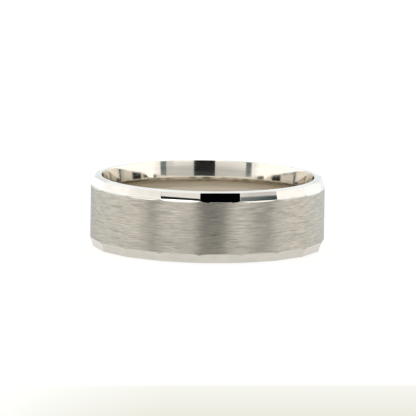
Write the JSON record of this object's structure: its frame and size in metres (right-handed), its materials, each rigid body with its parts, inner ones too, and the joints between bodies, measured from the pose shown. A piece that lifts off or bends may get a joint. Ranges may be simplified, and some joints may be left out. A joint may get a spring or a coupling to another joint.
{
  "type": "wedding band",
  "caption": "Flat satin wedding band in white gold with a bright-cut faceted bevel along both edges, narrow polished rims and a polished bore that flares at its mouths.",
  "frame": {"origin": "centre of the ring's axis on the plane of its lower rim", "axes": "+Z along the ring's axis, up through the finger bore; -Y towards the viewer"},
  "size_m": [0.0228, 0.0228, 0.007],
  "materials": {
    "satin_white_gold": "satin, brushed round the ring",
    "polished_white_gold": "bright-cut facets, polished rims and polished bore"
  },
  "bodies": {
    "root": {"band": "satin_white_gold"}
  },
  "joints": []
}
